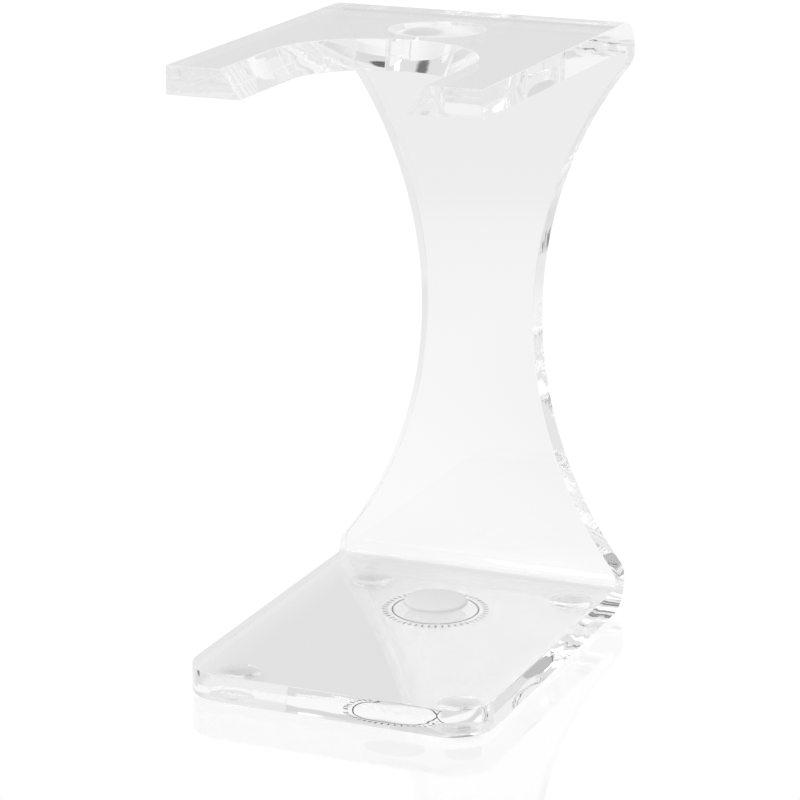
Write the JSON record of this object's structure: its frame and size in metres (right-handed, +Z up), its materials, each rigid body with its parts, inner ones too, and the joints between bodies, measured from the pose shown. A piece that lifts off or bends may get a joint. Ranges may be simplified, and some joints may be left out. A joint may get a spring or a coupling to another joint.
{
  "type": "brush stand",
  "caption": "Clear C-shaped countertop stand for a shaving brush: flared open slot and round hole in the shelf, waisted back panel, base on stick-on feet.",
  "frame": {"origin": "the surface that the stand rests on, under the middle of the stand's footprint", "axes": "+Z up, -Y towards the open side of the C, where the brush goes in, and +X to the right of a viewer who faces that side"},
  "size_m": [0.068, 0.09, 0.1357],
  "materials": {
    "clear_acrylic": "clear colourless cast acrylic sheet with polished faces and edges",
    "clear_foot": "clear soft polyurethane bumper, smooth",
    "grey_pad": "matt light grey"
  },
  "bodies": {
    "root": {"stand_body": "clear_acrylic", "foot_front_left": "clear_foot", "foot_front_right": "clear_foot", "foot_back_left": "clear_foot", "foot_back_right": "clear_foot", "base_pad": "grey_pad"}
  },
  "joints": []
}
